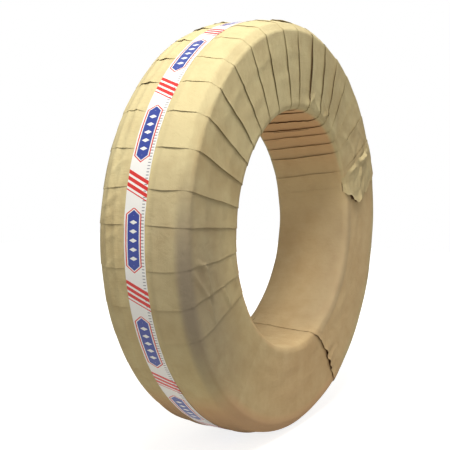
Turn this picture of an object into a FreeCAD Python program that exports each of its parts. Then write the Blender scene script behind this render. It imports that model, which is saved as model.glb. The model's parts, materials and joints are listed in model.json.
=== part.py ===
import FreeCAD, Part
import math
import os

# A full coil of multilayer pipe, standing on its rim, closed in a wound strip of kraft paper, with one
# hoop of printed tape round the middle of its tread. Sizes are in millimetres.
# The coil's axis lies along Y, the origin is in the middle of the bore, and +Z is up.

# Coil, measured over the paper
bore_radius = 224.0          # the open hole through the middle
tread_radius = 389.2         # the outside at mid-width
coil_width = 172.0           # from one end face to the other

# Section of the coil, over the paper
level_width = 80.0           # strip in the middle of the tread that is level from side to side
rim_drop = 10.0              # how much lower the edges of the tread are than its middle
tread_softening = 150.0      # radius where the level strip turns down towards the rims
outer_corner = 14.0          # rounding between the tread and an end face
inner_corner = 18.0          # rounding between an end face and the bore

# Pipe
pipe_diameter = 16.0         # outside diameter of the pipe
groove_depth = 5.0           # how deep the groove between two neighbouring turns is cut

# Paper
paper_wall = 1.5             # the lapped turns of crepe paper together
pipe_clearance = 0.3         # between the pipe and the inside of the paper

# Tape
tape_width = 40.0
tape_thickness = 0.6         # the overlapping turns of film together
tape_clearance = 0.2         # between the paper and the inside of the tape

longest_corner_share = 0.45  # a corner uses at most this share of the shorter run beside it

coil_axis = FreeCAD.Vector(0, 1, 0)
axis_point = FreeCAD.Vector(0, 0, 0)


def section_point(radius, across):
    return FreeCAD.Vector(radius, across, 0)


def section_corners():
    """Each sharp corner of the coil's section, with the rounding it gets."""
    half_width = coil_width / 2
    half_level = level_width / 2
    rim_radius = tread_radius - rim_drop
    return [
        (section_point(bore_radius, -half_width), inner_corner),
        (section_point(rim_radius, -half_width), outer_corner),
        (section_point(tread_radius, -half_level), tread_softening),
        (section_point(tread_radius, half_level), tread_softening),
        (section_point(rim_radius, half_width), outer_corner),
        (section_point(bore_radius, half_width), inner_corner),
    ]


def rounded_corners():
    """The start, middle and end of the arc that rounds each corner of the section."""
    corners = section_corners()
    arcs = []
    for index, (corner, rounding) in enumerate(corners):
        back = corners[index - 1][0] - corner
        ahead = corners[(index + 1) % len(corners)][0] - corner
        half_angle = back.getAngle(ahead) / 2
        longest_reach = longest_corner_share * min(back.Length, ahead.Length)
        reach = min(rounding / math.tan(half_angle), longest_reach)
        radius = reach * math.tan(half_angle)
        back.normalize()
        ahead.normalize()
        inward = (back + ahead).normalize()
        middle_distance = radius / math.sin(half_angle) - radius
        arcs.append((corner + back * reach, corner + inward * middle_distance, corner + ahead * reach))
    return arcs


def paper_section():
    """The closed outline of the coil over the paper, with rounded corners."""
    arcs = rounded_corners()
    edges = []
    for index, (start, middle, end) in enumerate(arcs):
        next_start = arcs[(index + 1) % len(arcs)][0]
        edges.append(Part.Arc(start, middle, end).toShape())
        edges.append(Part.LineSegment(end, next_start).toShape())
    return Part.Face(Part.Wire(edges))


def turned(face):
    """A flat section carried once round the coil's axis."""
    solid = face.revolve(axis_point, coil_axis, 360)
    if solid.Volume < 0:
        solid.reverse()
    return solid


def paper_wrap():
    outside = paper_section()
    inside = outside.makeOffset2D(-paper_wall)
    return turned(outside).cut(turned(inside))


def pipe_coil():
    """The wound pipe as one turned solid, with a groove between neighbouring turns all round its section."""
    cut_corners = []
    for start, _, end in rounded_corners():
        cut_corners.append(start)
        cut_corners.append(end)
    cut_corners.append(cut_corners[0])
    paper_polygon = Part.Face(Part.makePolygon(cut_corners))
    mitred = 2
    groove_line = paper_polygon.makeOffset2D(-(paper_wall + pipe_clearance + groove_depth), mitred)
    corners = [vertex.Point for vertex in groove_line.OuterWire.OrderedVertexes]
    middle = groove_line.CenterOfMass
    edges = []
    for index, corner in enumerate(corners):
        next_corner = corners[(index + 1) % len(corners)]
        run = next_corner - corner
        outward = run.cross(FreeCAD.Vector(0, 0, 1)).normalize()
        if outward.dot(corner - middle) < 0:
            outward = outward * -1
        turns = max(1, round(run.Length / pipe_diameter))
        for turn in range(turns):
            start = corner + run * (turn / turns)
            end = corner + run * ((turn + 1) / turns)
            crest = (start + end) / 2 + outward * groove_depth
            edges.append(Part.Arc(start, crest, end).toShape())
    return turned(Part.Face(Part.Wire(edges)))


def printed_tape():
    inner_radius = tread_radius + tape_clearance
    start = section_point(inner_radius, -tape_width / 2)
    section = Part.makePlane(tape_thickness, tape_width, start)
    return turned(section)


parts = {
    "pipe_coil": pipe_coil(),
    "paper_wrap": paper_wrap(),
    "printed_tape": printed_tape(),
}

os.makedirs("parts", exist_ok=True)
for name, shape in parts.items():
    shape.exportStep("parts/" + name + ".step")
    volume = round(shape.Volume / 1000)
    print(name, "solids:", len(shape.Solids), "valid:", shape.isValid(), "cubic centimetres:", volume)
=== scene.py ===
import json
import math

import bpy
import numpy as np
from mathutils import Matrix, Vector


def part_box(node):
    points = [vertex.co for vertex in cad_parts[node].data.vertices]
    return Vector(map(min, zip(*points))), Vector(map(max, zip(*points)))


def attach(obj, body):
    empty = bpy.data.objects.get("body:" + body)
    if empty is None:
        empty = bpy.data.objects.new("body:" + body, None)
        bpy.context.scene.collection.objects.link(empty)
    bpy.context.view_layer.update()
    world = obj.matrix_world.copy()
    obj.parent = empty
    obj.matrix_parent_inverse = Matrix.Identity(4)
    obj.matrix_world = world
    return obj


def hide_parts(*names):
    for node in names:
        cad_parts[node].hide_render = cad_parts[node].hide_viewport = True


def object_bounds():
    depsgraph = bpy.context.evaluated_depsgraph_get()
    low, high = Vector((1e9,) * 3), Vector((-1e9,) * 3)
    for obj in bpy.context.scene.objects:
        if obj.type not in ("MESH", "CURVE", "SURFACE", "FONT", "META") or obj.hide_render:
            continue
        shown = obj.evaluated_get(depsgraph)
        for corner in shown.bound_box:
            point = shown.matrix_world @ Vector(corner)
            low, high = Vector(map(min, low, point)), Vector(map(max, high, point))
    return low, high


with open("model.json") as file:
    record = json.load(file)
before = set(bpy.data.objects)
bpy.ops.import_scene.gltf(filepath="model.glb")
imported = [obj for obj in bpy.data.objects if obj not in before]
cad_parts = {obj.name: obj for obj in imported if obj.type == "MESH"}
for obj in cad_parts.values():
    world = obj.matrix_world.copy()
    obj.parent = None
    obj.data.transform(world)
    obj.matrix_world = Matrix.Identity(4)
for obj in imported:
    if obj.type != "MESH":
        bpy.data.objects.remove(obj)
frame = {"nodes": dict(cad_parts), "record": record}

# A coil of pipe on its rim, wound in crepe kraft paper, with one hoop of tape round its tread. Its axis is Y,
# and the near face looks to -Y. Angles go round the ring in degrees, anticlockwise as seen from there, from
# +X. Lengths are in millimetres up to makePiece.

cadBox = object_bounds()
mm = 0.001
dice = np.random.default_rng(7)

# what the frame says
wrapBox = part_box("paper_wrap")
treadRadius = wrapBox[1].z / mm
halfWidth = wrapBox[1].y / mm
boreRadius = [m for m in frame["record"]["mounts"] if m["name"] == "bore"][0]["dims"]["r_mm"]
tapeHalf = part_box("printed_tape")[1].y / mm


def ramp(x, low, high):
    # smooth step from 0 at low to 1 at high: 3 t squared less 2 t cubed
    t = np.clip((x - low) / (high - low), 0, 1)
    return t * t * (3 - 2 * t)


def hump(x, low, high, power=1.0):
    # half a sine wave from low to high, raised to a power, and 0 outside
    return np.sin(np.pi * np.clip((x - low) / (high - low), 0, 1)) ** power


def onArc(angle, start, stop, soft):
    # 1 on the ring from start to stop, anticlockwise, with smooth steps soft degrees long at both ends
    middle = (start + stop) / 2
    away = np.abs((angle - middle + 180) % 360 - 180)
    return 1 - ramp(away, (stop - start) / 2 - soft / 2, (stop - start) / 2 + soft / 2)


def bells(angle, entries):
    # sum of bell curves at chosen places on the ring: middle, half width and height of each
    total = np.zeros_like(angle, float)
    for middle, wide, height in entries:
        away = (angle - middle + 180) % 360 - 180
        total += height * np.exp(-0.5 * (away / wide) ** 2)
    return total


def waves(turn, lowest, highest, seed):
    # sum of cosines round the ring with random phases, about 1 high: smooth, and it closes on itself
    draw = np.random.default_rng(seed)
    orders = np.arange(lowest, highest + 1)
    phases = draw.uniform(0, 2 * np.pi, orders.size)
    total = np.zeros_like(turn, float)
    for order, phase in zip(orders, phases):
        total += np.cos(order * turn + phase)
    return total / math.sqrt(orders.size / 2)


def gridFaces(columns, rows, closeColumns, closeRows):
    # quads of a grid of points numbered column by column; a closed direction joins its end to its start
    c = np.arange(columns if closeColumns else columns - 1)
    r = np.arange(rows if closeRows else rows - 1)
    c, r = np.meshgrid(c, r, indexing="ij")
    c2, r2 = (c + 1) % columns, (r + 1) % rows
    quads = np.stack([c * rows + r, c2 * rows + r, c2 * rows + r2, c * rows + r2], -1)
    return quads.reshape(-1, 4)


def stripFaces(columns, rows):
    # quads of an open strip of closed loops, each running out over the top and back underneath, and of the
    # walls that shut its two ends
    first = np.arange(rows // 2 - 1)
    end = np.stack([first, first + 1, rows - 2 - first, rows - 1 - first], 1)
    return np.concatenate([gridFaces(columns, rows, False, True), end, end[:, ::-1] + (columns - 1) * rows])


def makePiece(name, points, quads, material, uv=None, values=None, sharp=None):
    # a mesh from arrays of points and quads; uv and values go point by point, and edges over the angle sharp
    # aren't smoothed
    mesh = bpy.data.meshes.new(name)
    mesh.vertices.add(len(points))
    mesh.vertices.foreach_set("co", (points * mm).astype(np.float32).ravel())
    mesh.loops.add(quads.size)
    mesh.loops.foreach_set("vertex_index", quads.astype(np.int32).ravel())
    mesh.polygons.add(len(quads))
    mesh.polygons.foreach_set("loop_start", np.arange(0, quads.size, 4, dtype=np.int32))
    mesh.update(calc_edges=True)
    if uv is not None:
        layer = mesh.uv_layers.new(name="flat")
        layer.data.foreach_set("uv", uv[quads.ravel()].astype(np.float32).ravel())
    for key, numbers in (values or {}).items():
        attribute = mesh.attributes.new(key, "FLOAT", "POINT")
        attribute.data.foreach_set("value", numbers.astype(np.float32))
    mesh.polygons.foreach_set("use_smooth", np.ones(len(quads), bool))
    if sharp is not None:
        mesh.set_sharp_from_angle(angle=math.radians(sharp))
    mesh.materials.append(material)
    mesh.validate()
    piece = bpy.data.objects.new(name, mesh)
    bpy.context.scene.collection.objects.link(piece)
    return piece


def linear(code):
    # an sRGB hex colour turned to linear values
    parts = [int(code[i:i + 2], 16) / 255 for i in (1, 3, 5)]
    return [p / 12.92 if p <= 0.04045 else ((p + 0.055) / 1.055) ** 2.4 for p in parts] + [1.0]


def newMaterial(name):
    # a new material with its node tree and its one Principled BSDF
    material = bpy.data.materials.new(name)
    material.use_nodes = True
    tree = material.node_tree
    return material, tree, tree.nodes["Principled BSDF"]


def addNode(tree, kind, inputs=(), out=0, **settings):
    # one node: settings go to its properties; each input, in order or by name, is a socket to join or a plain
    # value to write; what comes back is one of its outputs
    node = tree.nodes.new(kind)
    for key, value in settings.items():
        setattr(node, key, value)
    for key, value in inputs.items() if isinstance(inputs, dict) else enumerate(inputs):
        if isinstance(value, bpy.types.NodeSocket):
            tree.links.new(value, node.inputs[key])
        else:
            node.inputs[key].default_value = value
    return node.outputs[out]


def kraftCrepe():
    # Creped kraft paper, wound under tension: matte straw with soft mottling, greyer in places, with painted
    # light and shade in its colour, fine fibres along the strip and a fine crepe across it that catches the
    # light
    look = {
        "pale": "#d3c79b",
        "deep": "#b9a67c",
        "fibre": "#a08c62",
        # grey for greyer paper, and for painted shade on the near edge of the bore that faces the key lamp
        "greyAndShade": "#857b6c",
        # browner tint: painted amber light in the bore, and browner paper low on the face and the tread
        "warmTintAndLight": "#e2b385",
        # painted shade: the dark brown put into the colour under lifted edges and loose sheets
        "gapShade": "#56321e",
        "mottle": 34.0,  # size of the soft mottling
        "spread": (0.15, 0.85),  # mottling from deep to pale
        "fibres": (0.7, 22.0),  # width and length of the fibres, drawn coarser than real ones
        "hairs": (0.56, 0.8, 0.4),  # where the fibres' noise counts as a fibre, and how dark that gets
        "crepe": (1.5, 14.0),  # spacing and length of the crepe lines, drawn coarser than real ones
        "crepeRelief": (0.9, 0.45),  # strength and height of the crepe
        "crinkle": 10.0,  # size of the slight crinkling
        "crinkleRelief": (0.5, 1.9),  # and its strength and height
        "roughness": 0.86,
        "sheen": 0.25,  # specular level
    }
    material, tree, shader = newMaterial("creped kraft paper")
    flat = addNode(tree, "ShaderNodeUVMap", uv_map="flat")
    place = addNode(tree, "ShaderNodeTexCoord", out="Object")
    # the turns' own tone with painted light and shade added
    shade = addNode(tree, "ShaderNodeAttribute", out="Fac", attribute_name="turnToneAndLight")
    mottlePlace = {"Vector": place, "Scale": 1 / (look["mottle"] * mm), "Detail": 5.0}
    mottle = addNode(tree, "ShaderNodeTexNoise", mottlePlace)
    tone = addNode(tree, "ShaderNodeMath", (mottle, shade), operation="ADD")
    low, high = look["spread"]
    spread = addNode(tree, "ShaderNodeMapRange", {"Value": tone, "From Min": low, "From Max": high})
    straw = {0: spread, 6: linear(look["deep"]), 7: linear(look["pale"])}
    colour = addNode(tree, "ShaderNodeMix", straw, 2, data_type="RGBA")

    wide, long = look["fibres"]
    stretch = (1 / (wide * mm), 1 / (long * mm), 1.0)
    fibrePlace = addNode(tree, "ShaderNodeMapping", {"Vector": flat, "Scale": stretch})
    fibres = addNode(tree, "ShaderNodeTexNoise", {"Vector": fibrePlace, "Scale": 1.0, "Detail": 3.0})
    low, high, dark = look["hairs"]
    hairRange = {"Value": fibres, "From Min": low, "From Max": high, "To Max": dark}
    hairs = addNode(tree, "ShaderNodeMapRange", hairRange)
    hairTint = {0: hairs, 6: colour, 7: linear(look["fibre"])}
    colour = addNode(tree, "ShaderNodeMix", hairTint, 2, data_type="RGBA")
    # mixed in by point attributes: browner tint and painted amber light, greying and painted shade, painted
    # shade under edges
    for tint in ("warmTintAndLight", "greyAndShade", "gapShade"):
        share = addNode(tree, "ShaderNodeAttribute", out="Fac", attribute_name=tint)
        blend = {0: share, 6: colour, 7: linear(look[tint])}
        colour = addNode(tree, "ShaderNodeMix", blend, 2, data_type="RGBA")
    tree.links.new(colour, shader.inputs["Base Color"])

    wide, long = look["crepe"]
    stretch = (1 / (long * mm), 1 / (wide * mm), 1.0)
    crepePlace = addNode(tree, "ShaderNodeMapping", {"Vector": flat, "Scale": stretch})
    crepe = addNode(tree, "ShaderNodeTexNoise", {"Vector": crepePlace, "Scale": 1.0, "Detail": 2.0})
    relief = addNode(tree, "ShaderNodeMath", (crepe, fibres), operation="ADD")
    strength, high = look["crepeRelief"]
    crepeBump = {"Height": relief, "Strength": strength, "Distance": high * mm}
    bump = addNode(tree, "ShaderNodeBump", crepeBump)
    crinklePlace = {"Vector": place, "Scale": 1 / (look["crinkle"] * mm), "Detail": 3.0}
    crinkle = addNode(tree, "ShaderNodeTexNoise", crinklePlace)
    strength, high = look["crinkleRelief"]
    crinkleBump = {"Height": crinkle, "Strength": strength, "Distance": high * mm, "Normal": bump}
    bump = addNode(tree, "ShaderNodeBump", crinkleBump)
    tree.links.new(bump, shader.inputs["Normal"])
    shader.inputs["Roughness"].default_value = look["roughness"]
    shader.inputs["Specular IOR Level"].default_value = look["sheen"]
    return material


def whitePolyethylene():
    # Extruded polyethylene: white and satin, with faint drawing lines that vary its gloss
    look = {
        "colour": "#eeece4",
        "lines": 2.5,  # spacing of the drawing lines
        "roughness": (0.42, 0.5),
    }
    material, tree, shader = newMaterial("extruded polyethylene")
    place = addNode(tree, "ShaderNodeTexCoord", out="Object")
    lines = addNode(tree, "ShaderNodeTexNoise", {"Vector": place, "Scale": 1 / (look["lines"] * mm)})
    low, high = look["roughness"]
    gloss = addNode(tree, "ShaderNodeMapRange", {"Value": lines, "To Min": low, "To Max": high})
    tree.links.new(gloss, shader.inputs["Roughness"])
    shader.inputs["Base Color"].default_value = linear(look["colour"])
    return material


def printedFilm():
    # Glossy white polypropylene tape, printed in navy, red and grey: long hexagons filled with a row of white
    # lozenges, slanted red bars between them and ruler ticks along one edge, each where a distance is small
    look = {
        "film": "#eef0f0",
        "navy": "#2b3f96",
        "red": "#cf2a26",
        "grey": "#8b8f98",
        "period": 172.0,  # length of one repeat
        "start": 50.0,  # middle of the hexagon in it
        "aside": 2.0,  # how far the print's middle lies off the tape's
        "hexagon": (47.0, 11.0, 8.0),  # half length, half width and length of its points
        "border": (3.08, 1.1),  # how far out the red line round it runs, and half its width
        "lozenges": (7.0, 3.4, 39.0),  # spacing, half length, and how far from the hexagon's middle they go
        "bars": (70.0, 102.0, 10.0, 6.2),  # where they start and stop after its middle, spacing and width
        "slant": 0.45,  # of the bars, and how slim a lozenge is
        "ticks": (5.0, 1.6, -17.5, 2.6),  # spacing, width, place across the tape and half length
        "creases": 110.0,  # scale of the film's slight creases, to a metre
        "creaseRelief": (0.25, 0.5),  # their strength and height
        "roughness": 0.38,
    }
    material, tree, shader = newMaterial("printed polypropylene tape")
    flat = addNode(tree, "ShaderNodeUVMap", uv_map="flat")
    metresAlong = addNode(tree, "ShaderNodeSeparateXYZ", (flat,))
    metresAside = metresAlong.node.outputs["Y"]
    along = addNode(tree, "ShaderNodeMath", (metresAlong, 1 / mm), operation="MULTIPLY")
    side = addNode(tree, "ShaderNodeMath", (metresAside, 1 / mm), operation="MULTIPLY")
    side = addNode(tree, "ShaderNodeMath", (side, look["aside"]), operation="SUBTRACT")
    offset = addNode(tree, "ShaderNodeMath", (along, look["period"]), operation="FLOORED_MODULO")
    fromMiddle = addNode(tree, "ShaderNodeMath", (offset, look["start"]), operation="SUBTRACT")
    long = addNode(tree, "ShaderNodeMath", (fromMiddle,), operation="ABSOLUTE")
    wide = addNode(tree, "ShaderNodeMath", (side,), operation="ABSOLUTE")

    halfLong, halfWide, point = look["hexagon"]
    pointed = addNode(tree, "ShaderNodeMath", (wide, point / halfWide, long), operation="MULTIPLY_ADD")
    endDistance = addNode(tree, "ShaderNodeMath", (pointed, halfLong), operation="SUBTRACT")
    sideDistance = addNode(tree, "ShaderNodeMath", (wide, halfWide), operation="SUBTRACT")
    distance = addNode(tree, "ShaderNodeMath", (endDistance, sideDistance), operation="MAXIMUM")
    inside = addNode(tree, "ShaderNodeMath", (distance, 0.0), operation="LESS_THAN")
    border = addNode(tree, "ShaderNodeMath", (distance, *look["border"]), operation="COMPARE")

    spacing, halfLozenge, reach = look["lozenges"]
    step = addNode(tree, "ShaderNodeMath", (fromMiddle, spacing), operation="PINGPONG")
    slim = addNode(tree, "ShaderNodeMath", (wide, look["slant"], step), operation="MULTIPLY_ADD")
    lozenge = addNode(tree, "ShaderNodeMath", (slim, halfLozenge), operation="LESS_THAN")
    short = addNode(tree, "ShaderNodeMath", (long, reach), operation="LESS_THAN")
    lozenge = addNode(tree, "ShaderNodeMath", (lozenge, short), operation="MULTIPLY")

    start, stop, spacing, width = look["bars"]
    slanted = addNode(tree, "ShaderNodeMath", (side, look["slant"], fromMiddle), operation="MULTIPLY_ADD")
    barStep = addNode(tree, "ShaderNodeMath", (slanted, spacing), operation="FLOORED_MODULO")
    bar = addNode(tree, "ShaderNodeMath", (barStep, width), operation="LESS_THAN")
    barArea = (slanted, (start + stop) / 2, (stop - start) / 2)
    inArea = addNode(tree, "ShaderNodeMath", barArea, operation="COMPARE")
    bar = addNode(tree, "ShaderNodeMath", (bar, inArea), operation="MULTIPLY")

    spacing, width, place, halfTick = look["ticks"]
    tickStep = addNode(tree, "ShaderNodeMath", (along, spacing), operation="FLOORED_MODULO")
    tick = addNode(tree, "ShaderNodeMath", (tickStep, width), operation="LESS_THAN")
    edge = addNode(tree, "ShaderNodeMath", (side, place, halfTick), operation="COMPARE")
    tick = addNode(tree, "ShaderNodeMath", (tick, edge), operation="MULTIPLY")

    colour = linear(look["film"])
    for mask, tint in ((tick, "grey"), (bar, "red"), (border, "red"), (inside, "navy"), (lozenge, "film")):
        blend = {0: mask, 6: colour, 7: linear(look[tint])}
        colour = addNode(tree, "ShaderNodeMix", blend, 2, data_type="RGBA")
    tree.links.new(colour, shader.inputs["Base Color"])
    creasePlace = {"Vector": flat, "Scale": look["creases"], "Detail": 2.0}
    creases = addNode(tree, "ShaderNodeTexNoise", creasePlace)
    strength, high = look["creaseRelief"]
    creaseBump = {"Height": creases, "Strength": strength, "Distance": high * mm}
    bump = addNode(tree, "ShaderNodeBump", creaseBump)
    tree.links.new(bump, shader.inputs["Normal"])
    shader.inputs["Roughness"].default_value = look["roughness"]
    return material


section = {
    "rows": 216,
    "chamferWide": 13.0,  # facet between tread and end face, across the coil
    "chamferDeep": 14.0,  # and towards the axis
    "rimDrop": 6.8,  # tread at the facet, below the middle
    "level": (34.0, 38.0),  # half width of the level middle of the tread, on the near and far side
    "farBreak": (57.0, 1.9),  # second, weaker facet line on the far side: place and drop
    "inner": 11.0,  # rounding between an end face and the bore, drawn as two facets
    "innerMiddle": 0.3,  # where these meet, as a share of the rounding
    "softness": 1.1,  # how far the corners are rounded
    "sink": 0.5,  # the lowest paper lies this far under the CAD surface
    "fine": 4096,  # points in the outline before thinning
}


def sectionPath():
    # closed polygon of the section, (across, radius), resampled evenly, rounded by a Gaussian and moved in by
    # the sink, from the middle of the far face over the tread to the near face and back through the bore
    s = section
    top, out, low = treadRadius, halfWidth, boreRadius
    shoulder = top - s["rimDrop"]
    rimIn, faceIn = out - s["chamferWide"], shoulder - s["chamferDeep"]
    innerOut, innerUp = out - s["inner"] * s["innerMiddle"], low + s["inner"] * s["innerMiddle"]
    corners = [
        (out, (top + low) / 2),
        (out, faceIn),
        (rimIn, shoulder),
        (s["farBreak"][0], top - s["farBreak"][1]),
        (s["level"][1], top),
        (-s["level"][0], top),
        (-rimIn, shoulder),
        (-out, faceIn),
        (-out, (top + low) / 2),
        (-out, low + s["inner"]),
        (-innerOut, innerUp),
        (-out + s["inner"], low),
        (out - s["inner"], low),
        (innerOut, innerUp),
        (out, low + s["inner"]),
    ]
    ring = np.array(corners + corners[:1])
    run = np.concatenate([[0], np.cumsum(np.hypot(*np.diff(ring, axis=0).T))])
    fine = s["fine"]
    at = np.arange(fine) * run[-1] / fine
    path = np.stack([np.interp(at, run, ring[:, i]) for i in (0, 1)], 1)
    waveNumber = np.fft.rfftfreq(fine, run[-1] / fine) * 2 * np.pi
    smoothing = np.exp(-0.5 * (waveNumber * s["softness"]) ** 2)[:, None]
    path = np.fft.irfft(np.fft.rfft(path, axis=0) * smoothing, fine, axis=0)
    slope = np.roll(path, -1, 0) - np.roll(path, 1, 0)
    slope /= np.linalg.norm(slope, axis=1)[:, None]
    outward = np.stack([slope[:, 1], -slope[:, 0]], 1)
    path -= outward * s["sink"]
    pick = (np.arange(s["rows"]) * fine / s["rows"]).astype(int)
    knots = {"nearRim": run[7], "nearInner": run[10], "farInner": run[13], "farRim": run[1]}
    return path[pick], outward[pick], at[pick], run[-1], knots


path, outward, along, girth, knots = sectionPath()
across, radius = path[:, 0], path[:, 1]
lengthwise = 2 * np.pi * along / girth  # the section's own run as an angle, so that waves close round it

# 1 on the rows of each side of the section and 0 elsewhere; the rounded corners belong to none
onTread = (radius > treadRadius - 9) * 1.0
onNear = (across < -halfWidth + 4) * 1.0
onFar = (across > halfWidth - 4) * 1.0
onBore = (radius < boreRadius + 6) * 1.0

turns = {
    "count": 39,  # turns of the strip round the ring
    "firstEdge": 120.7,  # where the visible edge of one turn lies, degrees
    "unevenness": 0.45,  # how far an edge strays from the even spacing, degrees
    "wobble": 0.16,  # how far it wanders along its own length, degrees
    "paper": 0.45,  # thickness of the strip
    "pressed": 0.24,  # share of the thickness that shows as a step where the paper is pressed flat
    "tuck": 13.0,  # how far the eye can see under a lifted edge
    "boreDrift": 5.5,  # how far the strip advances while it crosses the bore, degrees
    "slants": [(73, 4, 4.2), (64, 3, 2.0), (40, 5, -3.5), (101, 5, 1.4)],  # edges that lean on the face
    "smoothArc": (216.0, 376.0, 18),  # arc where the turns are pressed flat and their edges hardly show
    "smoothFace": (208.0, 374.0, 16),  # the same on the near face
    "chance": (0.75, 1.25),  # how unevenly the edges stand up
    "tiltPower": 3.5,  # a lifted edge rises with this power of the place across the turn
    "curlPower": 5,  # and a curled one with this
}


def turnEdges():
    # angle of every visible edge on the tread: the first one plus even steps, each off by an even chance
    t = turns
    pitch = 360 / t["count"]
    edge = t["firstEdge"] + pitch * np.arange(t["count"])
    return edge + dice.uniform(-1, 1, t["count"]) * t["unevenness"]


edges = turnEdges()
loose = 1 - onArc(edges, *turns["smoothArc"])
looseFace = 1 - onArc(edges, *turns["smoothFace"])
chance = dice.uniform(*turns["chance"], edges.size)
slant = bells(edges, turns["slants"])

# how high the free edges stand: low everywhere, more on an arc (start, stop and softness), less on the quiet
# arc, and single ones (place, half width and height); "over" is the hump along the section
quietArc = (20, 76, 6)
lifts = {
    "face": {
        "loose": looseFace, "low": 1.3, "more": 1.0, "arc": (30, 172, 18), "less": 0.0,
        "single": [(83.5, 3, 3.6), (73, 3, 1.6), (47, 3, -2.2)],
        "on": radius, "over": (227, 376, 0.55), "where": onNear,
    },
    "far": {
        "loose": loose, "low": 1.6, "more": 0.0, "arc": (0, 0, 1), "less": 0.0, "single": [],
        "on": radius, "over": (236, 376, 0.6), "where": onFar,
    },
    "lens": {
        "loose": loose, "low": 1.1, "more": 1.1, "arc": (100, 142, 12), "less": 0.6, "single": [],
        "on": across, "over": (22, 64, 1.3), "where": onTread,
    },
    "side": {
        "loose": loose, "low": 0.8, "more": 0.7, "arc": (143, 172, 10), "less": 0.75,
        "single": [(93, 3, 2.6), (84, 3, 1.5)],
        "on": across, "over": (-76, -20, 0.8), "where": onTread,
    },
    "bore": {
        "loose": loose, "low": 0.9, "more": 1.9, "arc": (30, 90, 14), "less": 0.0,
        "single": [(40, 3, 1.6)],
        "on": across, "over": (-86, 80, 0.3), "where": onBore,
    },
}


def edgeLift(key):
    # height of every free edge at every row: looseness x chance x (low + more on its arc) x (1 - less on the
    # quiet arc) + the single ones, all times the hump along its side of the section
    s = lifts[key]
    high = s["loose"] * chance * (s["low"] + s["more"] * onArc(edges, *s["arc"]))
    high = high * (1 - s["less"] * onArc(edges, *quietArc)) + bells(edges, s["single"])
    return high[:, None] * hump(s["on"], *s["over"]) * s["where"]


def turnShift(index):
    # degrees of a turn's edge from its place on the tread, row by row: straight lines between the corners of
    # the section, leaning by the slant on the face and by the drift in the bore, plus waves
    stops = np.array([0, knots["farRim"], knots["nearRim"], knots["nearInner"], knots["farInner"], girth])
    half = -(slant[index] + turns["boreDrift"])
    middle = half * knots["farRim"] / (knots["farRim"] + girth - knots["farInner"])
    values = [middle, 0, 0, -slant[index], half, middle]
    wobble = waves(lengthwise, 1, 7, 100 + index) * turns["wobble"]
    return np.interp(along, stops, values) + wobble


cover = {
    "pitch": 16.0,  # spacing of the pipe's crests, before it is fitted
    "orders": 18,  # waves round the ring that make each crest uneven
    "seed": 21,
    "mean": 0.75,  # the paper's middle height
    "swing": (0.6, 0.75),  # how far it goes up and down, and how steeply
    "tapePull": (0.4, 0.85),  # how far the tape draws it down, and how much swing that takes
    "tapeReach": (2, 6),  # where that fades, inside and outside the tape's edge
    "ridgeSwing": 0.1,  # how far the long ridges on the tread follow the crests
    "ridgeArc": (80, 250, 60),  # arc of the ring the ridges on the near face hold on
    "foldWaves": 7,  # waves in one creased place
    "foldSpread": (0.6, 1.4),  # their numbers, as shares of those in its settings
    "foldPhase": 6.28,
    "foldShare": 2.6,  # what their sum is divided by
}

# long soft ridges where the paper is drawn over a prouder turn of pipe: place, half width and height
ridges = {
    "tread": [(56, 2.9, 1.6), (38, 2.6, 1.3), (-34, 3.2, 0.9)],
    "face": [(330, 6.0, 0.6), (286, 6.0, 0.4)],
}

# creased places: arc of the ring, its softness, window over the radius or the width, waves round the ring (m)
# and round the section (n), and height
folds = [
    {"arc": (145, 192), "soft": 14, "on": across, "span": (22, 80), "where": onTread,
     "m": 40, "n": 16, "high": 1.1, "seed": 1},
    {"arc": (8, 58), "soft": 14, "on": radius, "span": (236, 378), "where": onNear,
     "m": 26, "n": 7, "high": 0.9, "seed": 3},
    {"arc": (66, 84), "soft": 8, "on": radius, "span": (218, 262), "where": np.ones_like(radius),
     "m": 60, "n": 16, "high": 2.2, "seed": 4},
    {"arc": (208, 232), "soft": 12, "on": across, "span": (-74, -20), "where": onTread,
     "m": 22, "n": 60, "high": 1.2, "seed": 5},
]

# single creases from point to point (angle and radius on the near face, angle and width on the tread), then
# half width and height
creases = {
    "face": [
        (186.5, 327, 196, 317, 2.6, 4.6), (195, 328, 202.5, 325, 2.4, 4.4),
        (195.5, 284, 202.5, 278, 2.6, 4.4),
        (187, 358, 194, 331, 2.8, 3.4), (184.5, 347, 187, 321, 2.8, 2.6), (188, 254, 198, 245, 2.8, 2.6),
        (187, 300, 193, 296, 3, 1.8), (190, 309, 199, 300, 5, -0.7), (26, 300, 44, 262, 4, 1.6),
        (30, 350, 41, 318, 4, 1.4), (10, 268, 26, 322, 4, 1.2), (60, 240, 70, 262, 3, 2.6),
        (72, 236, 80, 254, 2.6, 2.6), (66, 236, 62, 256, 3, 2), (84, 236, 78, 262, 3, 1.8),
    ],
    "tread": [
        (163.8, 57, 160.2, 29, 2.6, 2.6), (171.6, 64, 168.6, 36, 2.6, 2.4), (179.4, 56, 177.6, 32, 2.6, 2.0),
        (150, 52, 146.5, 28, 3.0, 1.1), (187, 62, 182.5, 30, 3.5, 1.2), (175.5, 74, 173, 48, 3.0, 1.3),
        (216, -30, 219, -52, 3.0, 1.4), (221, -34, 224, -60, 3.0, 1.3), (197, -28, 203, -34, 3.0, 0.9),
    ],
}
creaseRadius = 300  # radius at which an angle on the near face is turned to a length


def creased(angle, lines, place, scale):
    # single creases: a bell across each line times half a sine along it, which ends a little past its ends;
    # scale is the length of a degree
    total = np.zeros_like(angle, float)
    for startAngle, startPlace, endAngle, endPlace, wide, high in lines:
        x = ((angle - startAngle + 180) % 360 - 180) * scale
        y = place - startPlace
        dx, dy = (endAngle - startAngle) * scale, endPlace - startPlace
        length = math.hypot(dx, dy)
        reach = (x * dx + y * dy) / length ** 2
        aside = (x * dy - y * dx) / length
        total += high * np.exp(-0.5 * (aside / wide) ** 2) * hump(reach, -0.15, 1.15, 0.7)
    return total


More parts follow.
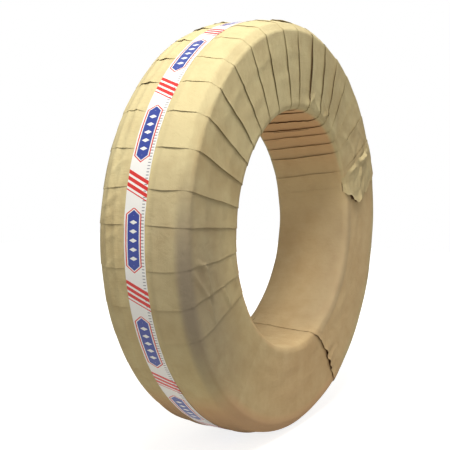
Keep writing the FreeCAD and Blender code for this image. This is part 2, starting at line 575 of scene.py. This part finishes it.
def skinHeights(angle):
    # how far the paper stands out over the section: straight from one pipe crest to the next, each a sum of
    # waves levelled by a hyperbolic tangent, then ridges, creased places (the size of a sum of waves) and
    # single creases
    s = cover
    crests = int(round(girth / s["pitch"]))
    where = along / (girth / crests)
    before = np.floor(where).astype(int) % crests
    share = where - np.floor(where)
    turn = np.radians(angle)
    draw = np.random.default_rng(s["seed"])
    orders = np.arange(1, s["orders"] + 1)
    phase = draw.uniform(0, 2 * np.pi, (crests, orders.size))
    here = np.zeros_like(angle)
    after = np.zeros_like(angle)
    for i, order in enumerate(orders):
        here += np.cos(order * turn + phase[before, i])
        after += np.cos(order * turn + phase[(before + 1) % crests, i])
    crest = (here * (1 - share) + after * share) / math.sqrt(orders.size / 2)
    inside, outside = s["tapeReach"]
    underTape = (1 - ramp(np.abs(across), tapeHalf - inside, tapeHalf + outside)) * onTread
    swing, steep = s["swing"]
    drawn, calm = s["tapePull"]
    height = s["mean"] - drawn * underTape + swing * np.tanh(steep * crest) * (1 - calm * underTape)
    for middle, wide, high in ridges["tread"]:
        ridge = high * np.exp(-0.5 * ((across - middle) / wide) ** 2) * onTread
        height = height + ridge * (1 + s["ridgeSwing"] * here)
    for middle, wide, high in ridges["face"]:
        ridge = high * np.exp(-0.5 * ((radius - middle) / wide) ** 2) * onNear
        height = height + ridge * onArc(angle, *s["ridgeArc"])
    for entry in folds:
        window = onArc(angle, *entry["arc"], entry["soft"]) * hump(entry["on"], *entry["span"])
        pull = np.zeros_like(angle)
        draw = np.random.default_rng(entry["seed"])
        for _ in range(s["foldWaves"]):
            m = round(entry["m"] * draw.uniform(*s["foldSpread"]))
            n = round(entry["n"] * draw.uniform(*s["foldSpread"]))
            pull += np.cos(m * turn + n * lengthwise + draw.uniform(0, s["foldPhase"]))
        height = height + entry["high"] * window * entry["where"] * (np.abs(pull) / s["foldShare"])
    height = height + creased(angle, creases["face"], radius, math.radians(creaseRadius)) * onNear
    return height + creased(angle, creases["tread"], across, math.radians(treadRadius)) * onTread


# painted shade under lifted edges and loose sheets, mixed into the paper's colour as dark brown
shadow = {
    "lift": (0.3, 1.8),  # height at which the painted shade under an edge starts to show, and shows fully
    "top": (0.6, 3.5),  # painted shade: the paper under the edge above darkens between these depths
    "under": (0.2, 3.0),  # and the underside of the edge, with painted shade, between these
    "share": 0.8,  # how dark the painted shade gets at the deepest place
    "sheet": (0.5, 4.0, 6.0, 0.9),  # painted shade under a loose sheet: full from and to, gone at (degrees); how dark
}


def turnColumns():
    # the folded profile of one turn, as fractions: along its top from the tuck to its free edge, then back
    # along its underside to where it meets the turn below
    top = np.concatenate([[0, 0.09, 0.16], np.linspace(0.2, 0.86, 13), [0.905, 0.94, 0.965, 0.985, 1.0]])
    under = np.array([1.0, 0.66, 0.33])
    return top, under


def paperGrid():
    # all the turns as one folded skin, column by column: angle, height, tone and painted shade. A turn runs
    # from its tucked root to its free edge. Its top rises by a step of paper plus tilt and curl times powers
    # of the place across, and its underside falls back in a straight line
    top, under = turnColumns()
    count = edges.size
    tuck = np.degrees(turns["tuck"] / radius)
    edgeAt = np.array([edges[k] + turnShift(k) for k in range(count)])
    before, after = np.roll(edgeAt, 1, 0), np.roll(edgeAt, -1, 0)
    before[0] -= 360
    after[-1] += 360
    root, nextRoot = (before - tuck)[:, None, :], (edgeAt - tuck)[:, None, :]
    slack = loose[:, None] * (1 - onNear) + looseFace[:, None] * onNear
    step = turns["paper"] * (turns["pressed"] + (1 - turns["pressed"]) * slack)
    tilt = edgeLift("face") + edgeLift("far")
    curl = edgeLift("lens") + edgeLift("side") + edgeLift("bore")
    nextStep, nextTilt = np.roll(step, -1, 0)[:, None, :], np.roll(tilt, -1, 0)[:, None, :]
    free, lift = edgeAt[:, None, :], (tilt + curl)[:, None, :]

    x = top[None, :, None]
    topAngle = root + x * (free - root)
    topHeight = (step[:, None, :] * x + tilt[:, None, :] * x ** turns["tiltPower"]
                 + curl[:, None, :] * x ** turns["curlPower"])
    x = under[None, :, None]
    underAngle = nextRoot + x * (free - nextRoot)
    below = (underAngle - nextRoot) / (after[:, None, :] - nextRoot)
    underHeight = nextStep * below + nextTilt * below ** turns["tiltPower"] + (lift + 0.02) * x

    # painted shade: under a lifted edge, the paper below and the edge's underside are darkened in colour
    dark = ramp(tilt + curl, *shadow["lift"])
    topDeep = np.radians(before[:, None, :] - topAngle) * radius
    underDeep = np.radians(free - underAngle) * radius
    topShade = ramp(topDeep, *shadow["top"]) * np.roll(dark, 1, 0)[:, None, :]
    underShade = ramp(underDeep, *shadow["under"]) * dark[:, None, :]
    pairs = ((topAngle, underAngle), (topHeight, underHeight), (topShade, underShade))
    angle, height, deep = [np.concatenate(pair, 1).reshape(-1, radius.size) for pair in pairs]
    columns = top.size + under.size
    tone = np.repeat(dice.uniform(-0.5, 0.5, count), columns)[:, None] * np.ones_like(radius)
    return angle, height, tone, deep * shadow["share"], columns


def placed(angle, height):
    # a point at that angle round the ring, moved out of the section by that height
    turn = np.radians(angle)
    out = radius + outward[:, 1] * height
    aside = (across + outward[:, 0] * height) * np.ones_like(turn)
    return np.stack([out * np.cos(turn), aside, out * np.sin(turn)], -1)


def flatPlace(angle):
    # where a point lies on the unrolled paper, in metres: arc length round the ring and run along the section
    return np.stack([np.radians(angle) * radius * mm, along * mm * np.ones_like(angle)], -1)


def underSheetShade(angle):
    # painted shade: how dark the skin is made just under the lifted edge of a loose sheet: it rises, holds
    # and fades again
    full, hold, gone, share = shadow["sheet"]
    dark = np.zeros_like(angle)
    for sheet in (tail, lap):
        under = (angle - lowerEdge(sheet)) % 360
        dark = np.maximum(dark, ramp(under, 0.0, full) * (1 - ramp(under, hold, gone)) * onSheet(sheet))
    return dark * share


# shares of the tones, painted light and shade among them: how strong, then the ring's arc from start to stop
# and its softness
# greying, and painted shade low on the near edge of the bore, which faces the key lamp
greyAndShadeShares = {
    "shoulder": (0.85, 170, 214, 36),
    "face": (0.55, 172, 220, 40),
    "side": (0.3, 160, 206, 36),
    # painted shade on the near edge of the bore
    "bore": (0.42, 290, 370, 40),
    "foot": (0.35, 228, 300, 14),
    "everywhere": 0.05,  # on the near shoulder all the way round
}
# browner tint: in the bore it is painted amber light
warmTintAndLightShares = {
    "rim": (1.0, 24, 168, 18),  # a pale rim in the bore
    "bore": (0.45, 40, 124, 40),
    "boreEverywhere": 0.28,
    "face": (0.32, 236, 384, 70),
    "tread": (0.8, 226, 300, 16),
}
# painted light and shade: shares by which the colour is lightened (above 0) or darkened (below 0) on arcs;
# the last entry is the turns' own differing tone
paintedLightAndTone = {
    "face": (0.2, 70, 140, 30),
    "lowFace": (-0.15, 148, 300, 20),
    "tread": (0.35, 88, 166, 20),
    "bore": (0.3, 0, 110, 24),
    "toneSwing": 0.12,  # how far the turns differ in tone
}


def patch(angle, share, start, stop, soft):
    # a share of a tone on an arc of the ring
    return share * onArc(angle, start, stop, soft)


def greyAndShadePlaces(angle):
    # how far the paper is greyed: mostly along the near shoulder low on one side, less on the face and the
    # tread beside it, at the foot and low in the bore, where it is painted shade on the near edge facing the
    # key lamp
    s = greyAndShadeShares
    shoulder = ramp(radius, treadRadius - 38, treadRadius - 17) * ramp(-across, halfWidth - 20, halfWidth - 9)
    face = ramp(radius, boreRadius + 16, treadRadius - 60) * onNear * (1 - shoulder)
    side = ramp(-across, tapeHalf, tapeHalf + 14) * onTread * (1 - shoulder)
    bore = ramp(-radius, -boreRadius - 22, -boreRadius - 8) * ramp(-across, -20, halfWidth - 16)
    total = (s["everywhere"] + patch(angle, *s["shoulder"])) * shoulder + patch(angle, *s["face"]) * face
    total = total + patch(angle, *s["side"]) * side + patch(angle, *s["bore"]) * bore
    return total + patch(angle, *s["foot"]) * np.maximum(onTread, shoulder)


def warmTintAndLightPlaces(angle):
    # how far the paper is tinted browner: in the bore, most of all high up, where it is painted amber light,
    # and low on the face and the tread
    s = warmTintAndLightShares
    rim = (1 - ramp(halfWidth - np.abs(across), 5, 12)) * patch(angle, *s["rim"])
    bore = ramp(-radius, -boreRadius - 15, -boreRadius - 5) * (1 - rim)
    tread = ramp(radius, treadRadius - 42, treadRadius - 20)
    face = onNear * (1 - bore) * (1 - tread)
    total = bore * (s["boreEverywhere"] + patch(angle, *s["bore"])) + face * patch(angle, *s["face"])
    return total + tread * patch(angle, *s["tread"])


def paintedLightPlaces(angle):
    # painted light (above 0) and painted shade (below 0): lighter high on the face, on the tread and in the
    # bore
    s = paintedLightAndTone
    face = patch(angle, *s["face"]) + patch(angle, *s["lowFace"])
    tread = ramp(radius, treadRadius - 26, treadRadius - 9) * patch(angle, *s["tread"])
    return face * onNear + tread + onBore * patch(angle, *s["bore"])


body = {
    "sectors": 3,  # pieces the wrapping is cut into round the ring
    "lining": -0.6,  # height of its inner skin
    "liningColumns": 4,  # columns of the lining for each turn
    "sharp": 38,  # edges over this many degrees aren't smoothed
}


def paperWrap(material):
    # the wound strip in closed sectors: the folded skin, a plain lining inside it and a wall at each end
    angle, height, tone, deep, columns = paperGrid()
    skin = placed(angle, height + skinHeights(angle))
    # point colours: tone with painted light and shade, painted shade, greying and painted shade, browner tint
    # and painted amber light
    tones = {
        "turnToneAndLight": paintedLightAndTone["toneSwing"] * tone + paintedLightPlaces(angle),
        "gapShade": np.maximum(underSheetShade(angle), deep),
        "greyAndShade": greyAndShadePlaces(angle),
        "warmTintAndLight": warmTintAndLightPlaces(angle),
    }
    rows = radius.size
    perSector = edges.size // body["sectors"]
    r = np.arange(rows)
    r2 = (r + 1) % rows
    faces = 0
    for sector in range(body["sectors"]):
        first = sector * perSector * columns
        pick = np.arange(first, first + perSector * columns + 1)
        outer = skin[pick % len(skin)]
        ends = angle[pick % len(skin)]
        ends[-1] += 360 if pick[-1] >= len(skin) else 0
        share = np.linspace(0, 1, perSector * body["liningColumns"])[:, None]
        lining = placed(ends[0] * (1 - share) + ends[-1] * share, body["lining"] * np.ones_like(radius))
        n, m = len(outer), len(lining)
        points = np.concatenate([outer.reshape(-1, 3), lining.reshape(-1, 3)])
        back = gridFaces(m, rows, False, True)[:, ::-1] + n * rows
        end, start = (n - 1) * rows, n * rows
        finish = start + (m - 1) * rows
        firstWall = np.stack([r, r2, start + r2, start + r], 1)
        lastWall = np.stack([end + r2, end + r, finish + r, finish + r2], 1)
        quads = np.concatenate([gridFaces(n, rows, False, True), back, firstWall, lastWall])
        uv = np.concatenate([flatPlace(ends).reshape(-1, 2), np.zeros((m * rows, 2))])
        blank = np.zeros(m * rows)
        values = {key: np.concatenate([tones[key][pick % len(skin)].ravel(), blank]) for key in tones}
        name = "paper_turns_%d" % (sector + 1)
        piece = makePiece(name, points, quads, material, uv, values, sharp=body["sharp"])
        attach(piece, "root")
        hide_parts("paper_wrap")
        faces += len(quads)
    print("paper:", faces, "faces in", body["sectors"], "sectors")


# loose sheets: the torn tail of the strip, and the lap where a second length of it starts
tail = {
    "name": "paper_tail",
    "radius": (222, 232, 245, 265, 300, 336, 368),  # on the near face
    "lower": (17.5, 14.0, 11.0, 8.5, 9.5, 12.0, 15.0),  # torn edge at each radius, degrees
    "upper": (23.0, 25.5, 26.3, 26.3, 26.3, 26.3, 27.0),  # folded edge at each radius, degrees
    "tread": (17.0, 27.0),  # both edges on the tread
    "bore": (18.0, 23.0),  # and in the bore
    "rows": (-22.0, -78.0),  # from this width on the tread to this one in the bore
    "ragged": 0.55,  # how far the torn edge strays, degrees
    "lowerLift": (5.5, 12.0),  # how high the lower edge stands, and how fast it settles
    "liftAt": (226, 300),  # radii between which it stands up
    "rolls": [(250, 284, 5.5), (298, 352, 6.5)],  # upper edge rolled over between these radii, this high
    "rollPlace": (8.0, 4.2),  # how far the roll lies from the edge, and its half width
    "crumple": 0.8,  # height of the crumpling
    "rest": 1.3,  # height over the skin
    "sink": 0.0,  # how far the upper edge dips back into it
    "warmTintAndLightShare": 0.15,  # share of the skin's browner tint and painted amber light
    "paper": 0.45,  # thickness
}

lap = {
    "name": "paper_lap",
    "radius": (219, 251, 273, 308, 351, 372),
    "lower": (285.8, 291.2, 293.1, 294.4, 295.3, 295.5),
    "upper": (302.0, 305.0, 306.0, 307.0, 307.0, 307.0),
    "tread": (295.5, 305.0),
    "bore": (289.0, 304.0),
    "rows": (-80.0, 66.0),
    "ragged": 0.28,
    "lowerLift": (3.6, 16.0),
    "liftAt": (226, 368),
    "rolls": [],
    "rollPlace": (8.0, 4.0),
    "crumple": 0.35,
    "rest": 0.85,
    "sink": 1.9,
    "warmTintAndLightShare": 1.0,
    "paper": 0.4,
}

# what both have in common
sheets = {
    "columns": 49,
    "ragged": (9, 40, 61),  # waves and seed of the torn edge
    "flutter": (8, 30, 71),  # and of the lift along it
    "flutterShare": (0.35, 0.4, 1.25),  # how strong that is, and its limits
    "leastLift": 0.12,  # share of the lift that is left off the near face
    "sharp": 40,
}


def onSheet(sheet):
    # 1 on the rows a loose sheet covers, from the row nearest to its start on the tread to the one nearest to
    # its end in the bore; the penalty keeps each search on its own half
    start, stop = sheet["rows"]
    middle, penalty = 300, 1000
    begin = along[(np.abs(across - start) + penalty * (radius < middle)).argmin()]
    finish = along[(np.abs(across - stop) + penalty * (radius > middle)).argmin()]
    return ((along >= begin) & (along <= finish)) * 1.0


def edgeLine(sheet, key, which):
    # angle of one edge of a loose sheet: straight lines between its points on the face, with smooth steps to
    # its places on the tread and in the bore
    face = np.interp(radius, sheet["radius"], sheet[key])
    toBore = ramp(across, -halfWidth + 8, halfWidth - 30) * onBore
    toTread = ramp(across, -halfWidth + 2, -halfWidth + 16) * onTread
    face = face + (sheet["bore"][which] - face) * toBore
    return face + (sheet["tread"][which] - face) * toTread


def lowerEdge(sheet):
    # the lower edge with the waves of a torn one on the near face
    return edgeLine(sheet, "lower", 0) + waves(lengthwise, *sheets["ragged"]) * sheet["ragged"] * onNear


def looseSheet(sheet, material):
    # a thin closed sheet on the skin between its two edges: height = rest + the lower edge's lift times an
    # exponential fall with the distance from it + the rolls of the upper edge as bells + crumpling - the sink
    # times the square of the place across
    rowsPick = np.nonzero(onSheet(sheet))[0]
    loops = np.concatenate([rowsPick, rowsPick[::-1]])
    lower, upper = lowerEdge(sheet), edgeLine(sheet, "upper", 1)
    share = np.linspace(0, 1, sheets["columns"])[:, None]
    angle = lower + (upper - lower) * share
    fromLower = np.radians(angle - lower) * radius
    fromUpper = np.radians(upper - angle) * radius
    strong, least, most = sheets["flutterShare"]
    flutter = np.clip(1 + strong * waves(lengthwise, *sheets["flutter"]), least, most)
    high, settle = sheet["lowerLift"]
    window = sheets["leastLift"] + hump(radius, *sheet["liftAt"], 0.6) * onNear
    lift = high * np.exp(-fromLower / settle) * flutter * window
    away, wide = sheet["rollPlace"]
    for start, stop, high in sheet["rolls"]:
        roll = np.exp(-0.5 * ((fromUpper - away) / wide) ** 2) * hump(radius, start, stop, 0.5)
        lift = lift + high * roll * flutter * onNear
    turn, spread = np.radians(angle), lengthwise
    crumpled = np.abs(np.sin(21 * turn + 6 * spread) + 0.7 * np.sin(29 * turn - 11 * spread + 1.0)
                      + 0.4 * np.sin(13 * turn + 23 * spread + 2.0))
    height = skinHeights(angle) + sheet["rest"] + lift + sheet["crumple"] * crumpled * onNear
    height = height - sheet["sink"] * share ** 2
    top = placed(angle, height)[:, rowsPick]
    under = placed(angle, height - sheet["paper"])[:, rowsPick[::-1]]
    points = np.concatenate([top, under], 1)
    n, m = points.shape[:2]
    # point colours as on the skin: painted light and shade, greying and painted shade, browner tint and
    # painted amber light
    values = {
        "turnToneAndLight": paintedLightPlaces(angle)[:, loops].ravel(),
        "gapShade": np.zeros(n * m),
        "greyAndShade": greyAndShadePlaces(angle)[:, loops].ravel(),
        "warmTintAndLight": warmTintAndLightPlaces(angle)[:, loops].ravel() * sheet["warmTintAndLightShare"],
    }
    uv = flatPlace(angle)[:, loops].reshape(-1, 2)
    quads = stripFaces(n, m)
    points = points.reshape(-1, 3)
    piece = makePiece(sheet["name"], points, quads, material, uv, values, sharp=sheets["sharp"])
    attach(piece, "root")
    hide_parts("paper_wrap")
    print(sheet["name"], len(quads), "faces")


tape = {
    "columns": 900,
    "rows": 17,
    "thickness": 0.3,
    "height": 1.35,  # outside of the tape over the section's tread
    "lapStart": 322.0,  # where the outer end lies, degrees; it laps the inner end by this much:
    "lap": 9.0,
    "climb": (350, 359, 1.4),  # the outer end climbs between these degrees, by this many thicknesses
    "wander": (2, 5, 82, 0.42),  # waves and seed of its straying sideways, and how far
    "flutter": (20, 60, 81, 0.12),  # the same for its face, which strays from round towards its edges
    "sharp": 40,
}


def tapeHoop(material):
    # a thin strip once round the tread: radius = tread + height + waves times the square of the place across,
    # its outer end climbing over its inner one
    s = tape
    share = np.linspace(0, 1, s["columns"])[:, None]
    begin = s["lapStart"] - s["lap"]
    angle = begin + share * (360 + s["lap"])
    turn = np.radians(angle)
    width = np.linspace(tapeHalf, -tapeHalf, s["rows"])
    start, stop, layers = s["climb"]
    lift = s["thickness"] * layers * ramp(angle, begin + start, begin + stop)
    *spread, far = s["flutter"]
    flutter = waves(turn, *spread) * far * (width / tapeHalf) ** 2
    out = treadRadius - section["sink"] + s["height"] + lift + flutter
    *spread, far = s["wander"]
    aside = (width + far * waves(turn, *spread)) * np.ones_like(out)
    low = out - s["thickness"]
    top = np.stack([out * np.cos(turn), aside, out * np.sin(turn)], -1)
    under = np.stack([low * np.cos(turn), aside, low * np.sin(turn)], -1)[:, ::-1]
    points = np.concatenate([top, under], 1)
    n, m = points.shape[:2]
    flatRow = np.concatenate([width, width[::-1]]) * mm
    uv = np.stack([turn * treadRadius * mm * np.ones(m), flatRow * np.ones_like(turn)], -1).reshape(-1, 2)
    quads = stripFaces(n, m)
    piece = makePiece("tape_hoop", points.reshape(-1, 3), quads, material, uv, sharp=s["sharp"])
    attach(piece, "root")
    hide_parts("printed_tape")
    print("tape:", len(quads), "faces")


paper = kraftCrepe()
paperWrap(paper)
looseSheet(tail, paper)
looseSheet(lap, paper)
tapeHoop(printedFilm())
core = frame["nodes"]["pipe_coil"]
core.data.materials.clear()
core.data.materials.append(whitePolyethylene())

studio = {
    "camera": {"azimuth": -60.1, "elevation": 4.85, "roll": 0.22, "distance": 1.528, "lens": 62.37,
               "shift": (-0.0808, 0.0032), "sensor": 36.0, "nearest": 0.05},
    "key": {"azimuth": -64.0, "elevation": 62.0, "distance": 2.3, "size": 1.1, "watts": 58.0,
            "colour": "#fff8ec"},
    "fill": {"azimuth": -38.0, "elevation": 24.0, "distance": 3.2, "size": 2.4, "watts": 7.0,
             "colour": "#fdf6ec"},
    "world": 0.325,  # light from all round
    "floor": {"size": 6.0, "under": 0.6, "colour": "#bdb9b2", "grain": 60.0, "roughness": (0.85, 0.95)},
    "glow": (0.5, 1.6, 0.82, 1.0),  # white seen on the floor: from and to this distance, m, at these shares
}


def directionFrom(azimuth, elevation):
    # unit vector from the object towards a viewer; azimuth 0 is -Y and 90 is +X
    a, e = math.radians(azimuth), math.radians(elevation)
    return np.array([math.sin(a) * math.cos(e), -math.cos(a) * math.cos(e), math.sin(e)])


def aimed(back, roll=0.0):
    # rotation whose +Z points along back and whose +X is level, then rolled
    right = np.cross([0, 0, 1], back)
    right /= np.linalg.norm(right)
    up = np.cross(back, right)
    c, s = math.cos(roll), math.sin(roll)
    columns = np.stack([c * right + s * up, -s * right + c * up, back], 1)
    return Matrix(columns.tolist()).to_euler()


def addLamp(name, lamp):
    # a round area lamp at a distance from the origin, facing it
    light = bpy.data.lights.new(name, "AREA")
    light.shape = "DISK"
    light.size = lamp["size"]
    light.energy = lamp["watts"]
    light.color = linear(lamp["colour"])[:3]
    thing = bpy.data.objects.new(name, light)
    back = directionFrom(lamp["azimuth"], lamp["elevation"])
    thing.location = back * lamp["distance"]
    thing.rotation_euler = aimed(back)
    bpy.context.scene.collection.objects.link(thing)


def seenRay(tree):
    # 1 for camera, glossy and transmission rays and 0 for others: the largest of the three marks
    ray = addNode(tree, "ShaderNodeLightPath").node.outputs
    seen = addNode(tree, "ShaderNodeMath", (ray["Is Camera Ray"], ray["Is Glossy Ray"]), operation="MAXIMUM")
    return addNode(tree, "ShaderNodeMath", (seen, ray["Is Transmission Ray"]), operation="MAXIMUM")


def paleFloor():
    # a matte white square under the rim; to the camera it also glows, by a share that grows evenly with the
    # distance from the middle, so that it runs into the white all round
    s = studio["floor"]
    level = cadBox[0].z / mm - s["under"]
    half = s["size"] / 2 / mm
    square = [(-half, -half, level), (half, -half, level), (half, half, level), (-half, half, level)]
    material, tree, shader = newMaterial("matte white studio floor")
    place = addNode(tree, "ShaderNodeTexCoord", out="Object")
    grain = addNode(tree, "ShaderNodeTexNoise", {"Vector": place, "Scale": s["grain"]})
    low, high = s["roughness"]
    gloss = addNode(tree, "ShaderNodeMapRange", {"Value": grain, "To Min": low, "To Max": high})
    tree.links.new(gloss, shader.inputs["Roughness"])
    shader.inputs["Base Color"].default_value = linear(s["colour"])
    away = addNode(tree, "ShaderNodeVectorMath", (place,), 1, operation="LENGTH")
    start, stop, low, high = studio["glow"]
    glowRange = {"Value": away, "From Min": start, "From Max": stop, "To Min": low, "To Max": high}
    glow = addNode(tree, "ShaderNodeMapRange", glowRange)
    glow = addNode(tree, "ShaderNodeMath", (seenRay(tree), glow), operation="MULTIPLY")
    tree.links.new(glow, shader.inputs["Emission Strength"])
    shader.inputs["Emission Color"].default_value = linear("#ffffff")
    floor = makePiece("floor", np.array(square), np.array([[0, 1, 2, 3]]), material)


def whiteWorld():
    # white to the camera, and a weaker white light to everything else
    world = bpy.data.worlds.new("white room")
    bpy.context.scene.world = world
    world.use_nodes = True
    tree = world.node_tree
    ground = tree.nodes["Background"]
    light = {"Value": seenRay(tree), "To Min": studio["world"], "To Max": 1.0}
    power = addNode(tree, "ShaderNodeMapRange", light)
    tree.links.new(power, ground.inputs["Strength"])
    ground.inputs["Color"].default_value = (1, 1, 1, 1)


def addCamera():
    # the view: a direction and a distance from the origin, rolled and shifted
    c = studio["camera"]
    data = bpy.data.cameras.new("camera")
    data.lens = c["lens"]
    data.sensor_width = c["sensor"]
    data.shift_x, data.shift_y = c["shift"]
    data.clip_start = c["nearest"]
    camera = bpy.data.objects.new("camera", data)
    back = directionFrom(c["azimuth"], c["elevation"])
    camera.location = back * c["distance"]
    camera.rotation_euler = aimed(back, math.radians(c["roll"]))
    bpy.context.scene.collection.objects.link(camera)
    bpy.context.scene.camera = camera


addLamp("keyLamp", studio["key"])
addLamp("fillLamp", studio["fill"])
whiteWorld()
paleFloor()
addCamera()
bpy.context.scene.view_settings.view_transform = "Standard"
print("studio ready")
